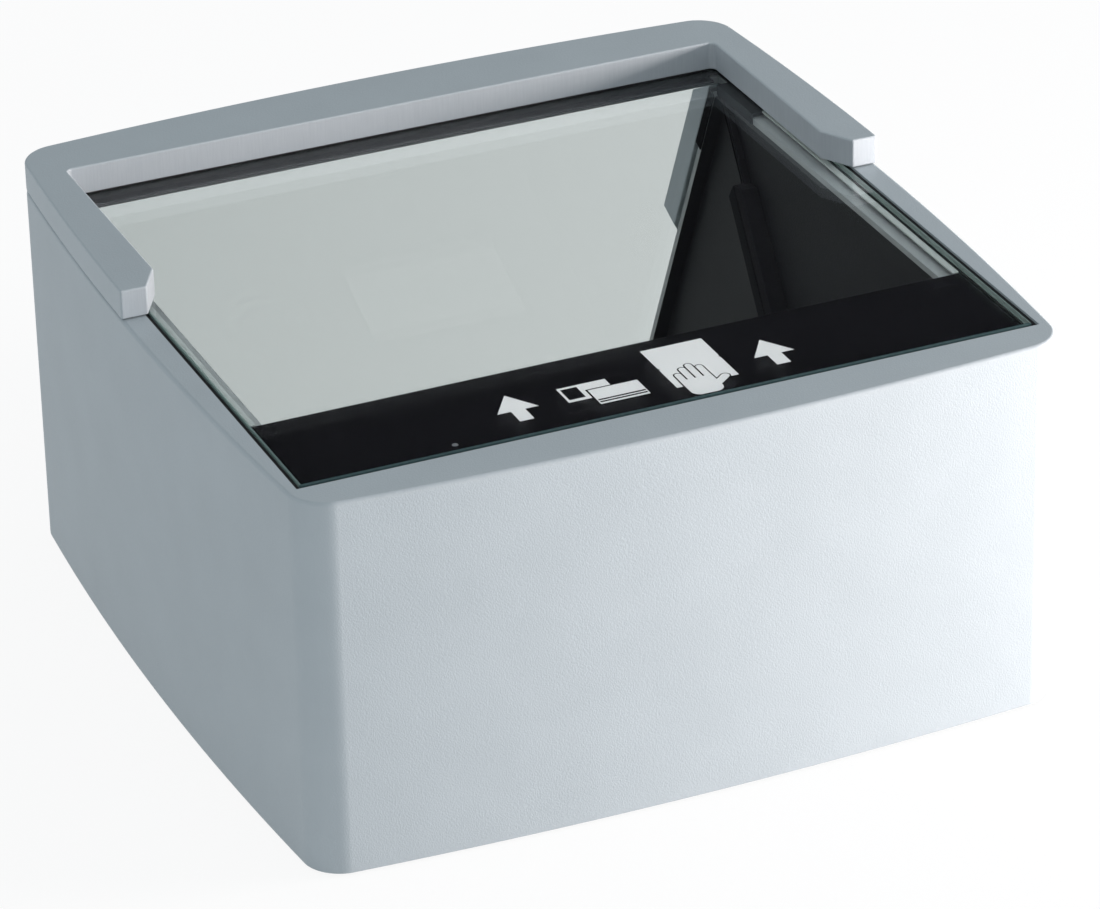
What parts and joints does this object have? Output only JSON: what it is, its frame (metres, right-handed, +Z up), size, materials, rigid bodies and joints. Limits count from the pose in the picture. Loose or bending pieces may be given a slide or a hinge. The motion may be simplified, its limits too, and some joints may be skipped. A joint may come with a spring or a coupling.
{
  "type": "passport reader",
  "caption": "Square counter-top passport reader with a cover glass, a U-shaped guide frame and a tilted mirror, camera and lamps inside.",
  "frame": {"origin": "middle of the footprint, on the surface that the feet stand on", "axes": "+Z up; +X to the right and +Y to the rear as the user in front of it sees it"},
  "size_m": [0.147, 0.147, 0.0773],
  "materials": {
    "shell_paint": "fine leather-grain paint",
    "cover_glass": "polished, ground edges",
    "black_print": "screen print behind glass",
    "gasket_rubber": "matt",
    "foot_rubber": "matt",
    "seal_foam": "open cell foam",
    "mirror_silver": "front-surface mirror",
    "charcoal_plastic": "fine spark-eroded texture",
    "black_plastic": "moulded",
    "white_plastic": "moulded",
    "opal_plastic": "satin opal",
    "clear_plastic": "clear",
    "lamp_board": "white solder mask",
    "status_diode": "clear lens",
    "green_board": "green solder mask",
    "sensor_ceramic": "glass lidded",
    "lens_glass": "coated",
    "black_anodised": "black anodised",
    "screw_steel": "bright",
    "plated_steel": "zinc plated",
    "pin_brass": "bright",
    "can_aluminium": "bright",
    "chip_black": "moulded epoxy",
    "cable_white": "satin"
  },
  "bodies": {
    "chassis": {"base_plate": "plated_steel", "base_screw_front_left": "screw_steel", "base_screw_front_right": "screw_steel", "base_screw_rear_left": "screw_steel", "base_screw_rear_right": "screw_steel", "capacitor": "can_aluminium", "cover_glass": "cover_glass", "flat_cable": "cable_white", "floor_panel": "charcoal_plastic", "foot_front_left": "foot_rubber", "foot_front_right": "foot_rubber", "foot_rear_left": "foot_rubber", "foot_rear_right": "foot_rubber", "frame_screw_left": "screw_steel", "frame_screw_right": "screw_steel", "front_board": "green_board", "front_board_screw_left": "screw_steel", "front_board_screw_right": "screw_steel", "front_bulkhead": "charcoal_plastic", "front_cable_socket": "white_plastic", "glass_gasket": "gasket_rubber", "guide_frame": "shell_paint", "housing": "shell_paint", "image_sensor": "sensor_ceramic", "left_baffle": "charcoal_plastic", "left_diffuser": "opal_plastic", "left_lamp_board": "lamp_board", "left_ledge_pad": "seal_foam", "left_mirror_seal": "seal_foam", "left_mirror_stand": "plated_steel", "left_reflector": "white_plastic", "lens_holder": "black_plastic", "light_pipe": "clear_plastic", "main_board": "green_board", "main_board_screw_left": "screw_steel", "main_board_screw_right": "screw_steel", "main_cable_socket": "white_plastic", "mask_film": "black_print", "memory_chip": "chip_black", "mirror": "mirror_silver", "mirror_carrier": "black_plastic", "mirror_top_seal": "seal_foam", "power_jack": "black_plastic", "power_pin": "pin_brass", "processor": "chip_black", "right_baffle": "charcoal_plastic", "right_diffuser": "opal_plastic", "right_lamp_board": "lamp_board", "right_ledge_pad": "seal_foam", "right_mirror_seal": "seal_foam", "right_mirror_stand": "plated_steel", "right_reflector": "white_plastic", "status_led": "status_diode", "usb_shell": "plated_steel", "usb_tongue": "white_plastic"},
    "lock_ring": {"lens_lock_ring": "black_anodised"},
    "lens": {"lens_barrel": "black_anodised", "lens_front_glass": "lens_glass", "lens_rear_glass": "lens_glass", "lens_retainer": "black_anodised"}
  },
  "joints": [
    {"name": "lens_lock_turn", "type": "hinge", "parent": "chassis", "child": "lock_ring", "pos_m": [0, -0.0441, 0.03], "axis": [0, 1, 0], "range_deg": [0, 180]},
    {"name": "lens_focus_turn", "type": "hinge", "parent": "chassis", "child": "lens", "pos_m": [0, -0.045, 0.03], "axis": [0, 1, 0], "range_deg": [0, 360]}
  ]
}
